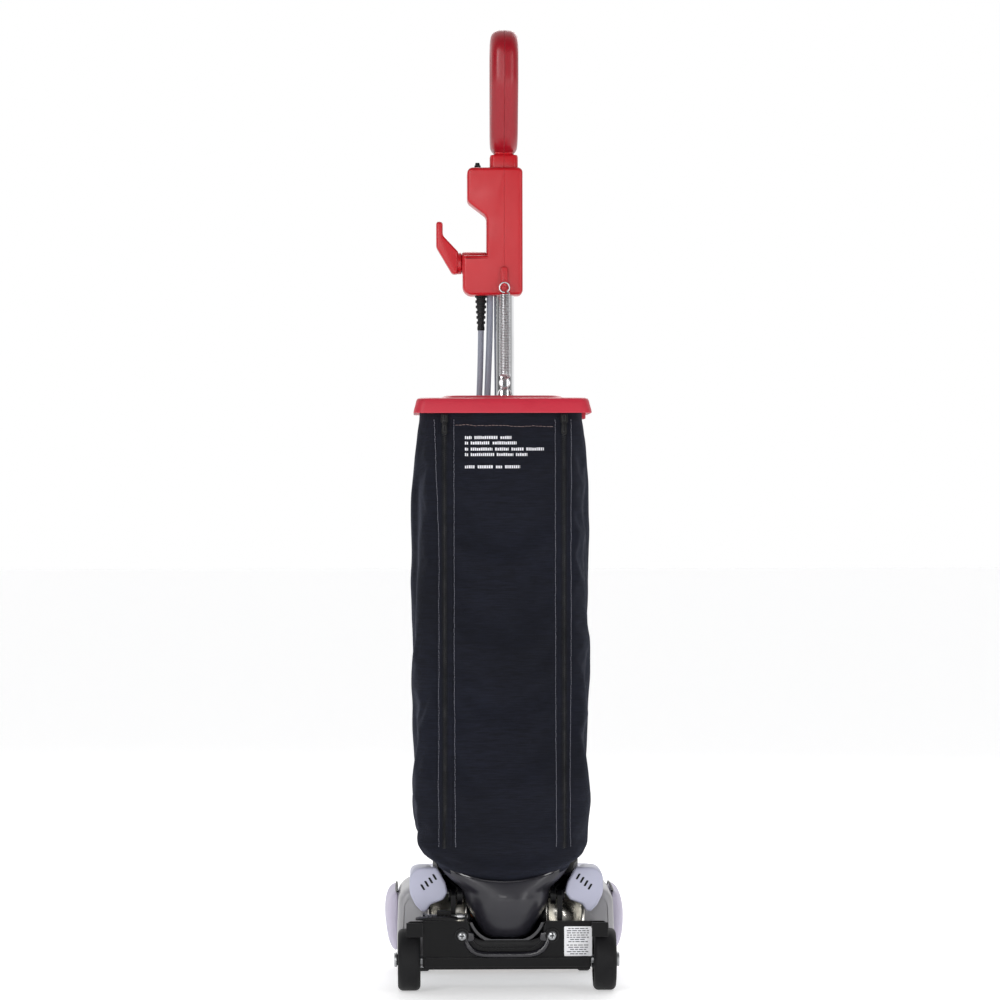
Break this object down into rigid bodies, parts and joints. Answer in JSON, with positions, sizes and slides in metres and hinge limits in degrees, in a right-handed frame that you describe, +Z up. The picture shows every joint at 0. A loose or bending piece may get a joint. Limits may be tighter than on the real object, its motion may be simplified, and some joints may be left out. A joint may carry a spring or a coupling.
{
  "type": "upright vacuum cleaner",
  "caption": "Commercial upright vacuum cleaner: red grip and lid, dark zipped bag hung on a spring, chrome tube, grey base with brush roll.",
  "frame": {"origin": "on the floor under the middle of the machine, cord aside", "axes": "+Z up along the handle, +Y towards the nozzle, +X to the operator's right when standing behind it"},
  "size_m": [0.305, 0.38, 1.197],
  "materials": {
    "red_plastic": "satin moulded red plastic",
    "bag_fabric": "ribbed dark navy woven polyester",
    "paper_sack": "brown filter paper",
    "black_gloss": "polished black moulding",
    "black_paint": "gloss black enamel on pressed steel",
    "black_plastic": "fine textured black plastic",
    "grey_hood": "pale lavender grey moulding",
    "grey_casting": "warm grey enamel on cast aluminium",
    "pale_rubber": "pale grey soft vinyl",
    "black_rubber": "moulded black rubber",
    "tyre_black": "moulded black wheel, lightly scuffed",
    "chrome_tube": "bright chrome plate",
    "zinc": "zinc plated steel",
    "spring_steel": "bright spring wire",
    "cord_grey": "blue-grey flexible cord jacket",
    "copper": "enamelled copper windings on steel core",
    "brass_pins": "bright brass",
    "aluminium_part": "machined aluminium",
    "bristle": "stiff nylon bristles",
    "wood_core": "varnished beech",
    "carbon": "pressed carbon"
  },
  "bodies": {
    "base": {"base_casting": "grey_casting", "hood": "grey_hood", "bumper": "pale_rubber", "bottom_plate": "zinc", "rear_chassis": "black_paint", "trunnion_pins": "zinc", "rear_plate": "black_paint", "rear_plate_screws": "zinc", "pedal_pin": "zinc", "pedal_spring": "spring_steel", "boot_cradle": "black_gloss", "rear_axle": "zinc", "brush_end_blocks": "black_plastic", "motor_field": "copper", "carbon_brushes": "carbon", "motor_end_plates": "aluminium_part", "motor_bearings": "zinc", "fan_housing": "black_plastic", "suction_duct": "black_plastic", "exhaust_duct": "black_plastic", "drive_belt": "black_rubber"},
    "rear_wheel_left": {"rear_wheel_left": "tyre_black"},
    "rear_wheel_right": {"rear_wheel_right": "tyre_black"},
    "carriage": {"front_carriage": "zinc"},
    "front_wheel_left": {"front_wheel_left": "tyre_black"},
    "front_wheel_right": {"front_wheel_right": "tyre_black"},
    "knob": {"height_knob": "black_plastic"},
    "brush": {"brush_roll": "wood_core", "brush_bristles": "bristle"},
    "rotor": {"motor_armature": "copper", "motor_shaft": "zinc", "suction_fan": "aluminium_part"},
    "pedal": {"release_pedal": "black_paint"},
    "handle": {"handle_bail": "black_paint", "handle_tube": "chrome_tube", "bag_boot": "black_gloss", "bag_spout": "black_plastic", "cloth_bag": "bag_fabric", "paper_bag": "paper_sack", "zipper_tapes": "bag_fabric", "bag_lid": "red_plastic", "lid_staple": "spring_steel", "support_spring": "spring_steel", "spring_strap": "red_plastic", "handle_shell_left": "red_plastic", "handle_shell_right": "red_plastic", "switch_module": "black_plastic", "lower_cord_hook": "red_plastic", "strain_relief": "black_rubber", "power_cord": "cord_grey", "cord_coil": "cord_grey", "cord_tail": "cord_grey", "plug_body": "black_rubber", "plug_pins": "brass_pins", "motor_lead": "cord_grey", "lead_clips": "black_plastic"},
    "hook": {"upper_cord_hook": "red_plastic"},
    "switch": {"power_switch": "black_plastic"},
    "zip_left": {"zipper_slider_left": "black_paint"},
    "zip_right": {"zipper_slider_right": "black_paint"}
  },
  "joints": [
    {"name": "rear_wheel_left_spin", "type": "hinge", "parent": "base", "child": "rear_wheel_left", "pos_m": [-0.1205, -0.127, 0.038], "axis": [1, 0, 0], "continuous": true},
    {"name": "rear_wheel_right_spin", "type": "hinge", "parent": "base", "child": "rear_wheel_right", "pos_m": [0.1205, -0.127, 0.038], "axis": [1, 0, 0], "continuous": true},
    {"name": "carriage_tilt", "type": "hinge", "parent": "base", "child": "carriage", "pos_m": [0, 0.1, 0.036], "axis": [-1, 0, 0], "range_deg": [0, 12]},
    {"name": "front_wheel_left_spin", "type": "hinge", "parent": "carriage", "child": "front_wheel_left", "pos_m": [-0.103, 0.073, 0.02], "axis": [1, 0, 0], "continuous": true},
    {"name": "front_wheel_right_spin", "type": "hinge", "parent": "carriage", "child": "front_wheel_right", "pos_m": [0.103, 0.073, 0.02], "axis": [1, 0, 0], "continuous": true},
    {"name": "height_knob_turn", "type": "hinge", "parent": "base", "child": "knob", "pos_m": [0, 0.075, 0.13], "axis": [0, 0, 1], "range_deg": [0, 270]},
    {"name": "motor_spin", "type": "hinge", "parent": "base", "child": "rotor", "pos_m": [0, 0.025, 0.08], "axis": [1, 0, 0], "continuous": true},
    {"name": "brush_spin", "type": "hinge", "parent": "base", "child": "brush", "pos_m": [0, 0.138, 0.04], "axis": [1, 0, 0], "continuous": true},
    {"name": "pedal_press", "type": "hinge", "parent": "base", "child": "pedal", "pos_m": [-0.076, -0.126, 0.091], "axis": [1, 0, 0], "range_deg": [0, 8], "stiffness_Nm_per_rad": 0.6, "springref_deg": -8.59},
    {"name": "handle_recline", "type": "hinge", "parent": "base", "child": "handle", "pos_m": [0, -0.11, 0.115], "axis": [1, 0, 0], "range_deg": [0, 65]},
    {"name": "upper_hook_turn", "type": "hinge", "parent": "handle", "child": "hook", "pos_m": [-0.055, -0.027, 0.903], "axis": [1, 0, 0], "range_deg": [0, 180]},
    {"name": "power_switch_slide", "type": "slide", "parent": "handle", "child": "switch", "axis": [0, 1, 0], "range_m": [0, 0.01]},
    {"name": "zip_left_slide", "type": "slide", "parent": "handle", "child": "zip_left", "axis": [0, 0, -1], "range_m": [0, 0.4]},
    {"name": "zip_right_slide", "type": "slide", "parent": "handle", "child": "zip_right", "axis": [0, 0, -1], "range_m": [0, 0.4]}
  ],
  "couplings": [
    {"joint": "height_knob_turn", "follows": "carriage_tilt", "ratio": 22.5},
    {"joint": "brush_spin", "follows": "motor_spin", "ratio": 0.5252}
  ]
}
